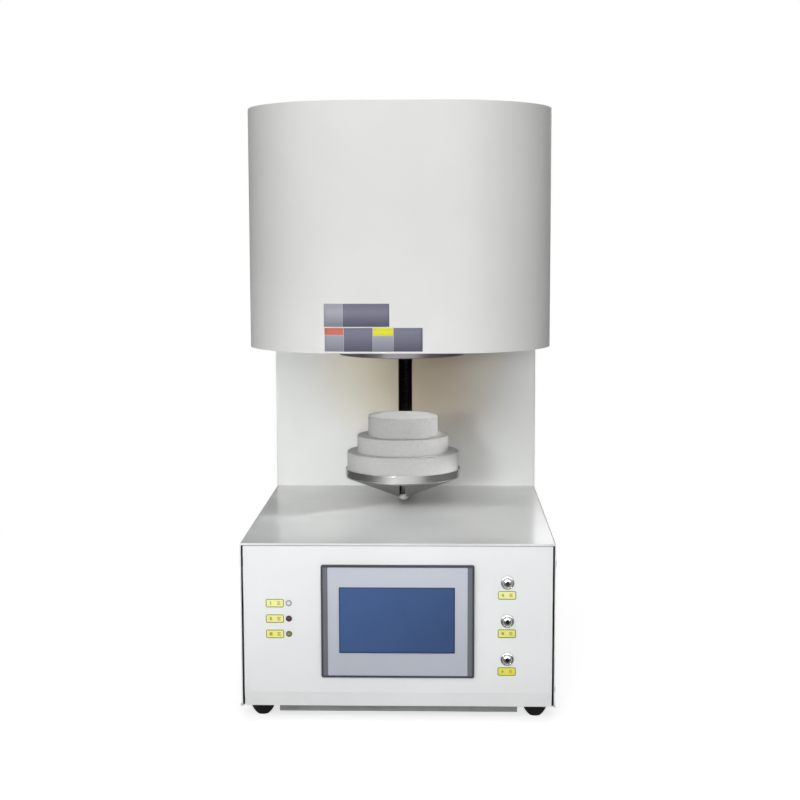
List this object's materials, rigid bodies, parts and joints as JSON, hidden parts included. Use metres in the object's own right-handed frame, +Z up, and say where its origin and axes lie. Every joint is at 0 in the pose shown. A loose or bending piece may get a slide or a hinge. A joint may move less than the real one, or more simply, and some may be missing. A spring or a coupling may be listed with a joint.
{
  "type": "dental sintering furnace",
  "caption": "Bench-top dental sintering furnace: a stepped fibre hearth on a screw lift closes a chamber under the hood from below.",
  "frame": {"origin": "middle of the footprint, on the surface the feet stand on", "axes": "+Z up, +X to the right and +Y to the back as seen from the front, where the touch panel is"},
  "size_m": [0.424, 0.59, 0.824],
  "materials": {
    "powder_coat": "fine satin powder coat",
    "front_paint": "satin powder coat",
    "deck_paint": "semi-gloss light grey",
    "zinc_steel": "zinc plated sheet",
    "black_steel": "matt black",
    "polished_steel": "turned and polished",
    "ring_steel": "heat-tinted steel",
    "bright_chrome": "chrome plated",
    "fibre_board": "matt white vacuum-formed ceramic fibre",
    "foot_rubber": "matt black rubber",
    "slate_plastic": "dark slate plastic",
    "face_plastic": "light lavender-grey membrane",
    "screen_glass": "blue backlit screen under a matt film",
    "clear_lens": "clear white lens",
    "red_lens": "dark red lens",
    "amber_lens": "olive yellow lens",
    "yellow_tag": "printed yellow plate",
    "black_plastic": "moulded black plastic",
    "grey_plastic": "moulded grey plastic",
    "bronze": "plain bearing bronze",
    "ground_steel": "ground bar",
    "motor_black": "satin black",
    "lamination": "varnished laminated iron",
    "copper_winding": "enamelled copper winding",
    "alu_sink": "extruded aluminium",
    "element_grey": "glazed silicide rod",
    "ceramic": "unglazed ceramic",
    "screw_steel": "plated steel"
  },
  "bodies": {
    "frame": {"base_tray": "zinc_steel", "base_cover": "deck_paint", "base_front_panel": "front_paint", "base_rear_panel": "powder_coat", "rubber_feet": "foot_rubber", "touch_panel_bezel": "slate_plastic", "touch_panel_face": "face_plastic", "touch_panel_glass": "screen_glass", "touch_panel_body": "black_plastic", "indicator_bezels": "bright_chrome", "indicator_lens_upper": "clear_lens", "indicator_lens_middle": "red_lens", "indicator_lens_lower": "amber_lens", "label_tags": "yellow_tag", "button_bezels": "bright_chrome", "button_switches": "black_plastic", "column_cover": "powder_coat", "rear_cover": "powder_coat", "frame_posts": "black_steel", "hood_shell": "powder_coat", "hood_top": "powder_coat", "hood_bottom_plate": "powder_coat", "throat_ring": "ring_steel", "insulation_throat": "fibre_board", "insulation_wall": "fibre_board", "insulation_roof": "fibre_board", "furnace_casing": "zinc_steel", "heating_elements": "element_grey", "element_clamps": "ceramic", "thermocouple": "ceramic", "guide_rods": "ground_steel", "lift_frame": "black_steel", "rod_blocks": "black_steel", "screw_bearings": "ground_steel", "lift_motor": "motor_black", "transformer_core": "lamination", "transformer_coil": "copper_winding", "power_controller": "alu_sink", "fan_frame": "black_plastic", "cable_gland": "black_plastic", "breaker_body": "grey_plastic", "case_screws": "screw_steel"},
    "hearth": {"hearth_disc_lower": "fibre_board", "hearth_disc_middle": "fibre_board", "hearth_disc_top": "fibre_board", "hearth_dish": "polished_steel", "hearth_cone": "polished_steel", "hearth_stud": "bright_chrome", "hearth_dome_nut": "bright_chrome", "lift_arm": "black_steel", "lift_carriage": "black_steel", "carriage_bushings": "bronze", "lift_nut": "bronze"},
    "drive_screw": {"lead_screw": "ground_steel", "shaft_coupling": "alu_sink"},
    "raise_button": {"button_raise": "bright_chrome"},
    "stop_button": {"button_stop": "bright_chrome"},
    "lower_button": {"button_lower": "bright_chrome"},
    "fan": {"fan_rotor": "black_plastic"},
    "breaker": {"breaker_lever": "black_plastic"}
  },
  "joints": [
    {"name": "hearth_lift", "type": "slide", "parent": "frame", "child": "hearth", "axis": [0, 0, 1], "range_m": [0, 0.183]},
    {"name": "screw_spin", "type": "hinge", "parent": "frame", "child": "drive_screw", "pos_m": [0, 0.21, 0.3], "axis": [0, 0, 1], "range_deg": [-6600, 0]},
    {"name": "raise_press", "type": "slide", "parent": "frame", "child": "raise_button", "axis": [0, 1, 0], "range_m": [0, 0.0025], "stiffness_N_per_m": 900, "springref_m": -0.001},
    {"name": "stop_press", "type": "slide", "parent": "frame", "child": "stop_button", "axis": [0, 1, 0], "range_m": [0, 0.0025], "stiffness_N_per_m": 900, "springref_m": -0.001},
    {"name": "lower_press", "type": "slide", "parent": "frame", "child": "lower_button", "axis": [0, 1, 0], "range_m": [0, 0.0025], "stiffness_N_per_m": 900, "springref_m": -0.001},
    {"name": "fan_spin", "type": "hinge", "parent": "frame", "child": "fan", "pos_m": [-0.12, 0.259, 0.135], "axis": [0, 1, 0], "continuous": true},
    {"name": "breaker_switch", "type": "hinge", "parent": "frame", "child": "breaker", "pos_m": [0.15, 0.259, 0.12], "axis": [1, 0, 0], "range_deg": [-50, 0]}
  ],
  "couplings": [
    {"joint": "screw_spin", "follows": "hearth_lift", "rad_per_m": -628.32}
  ]
}
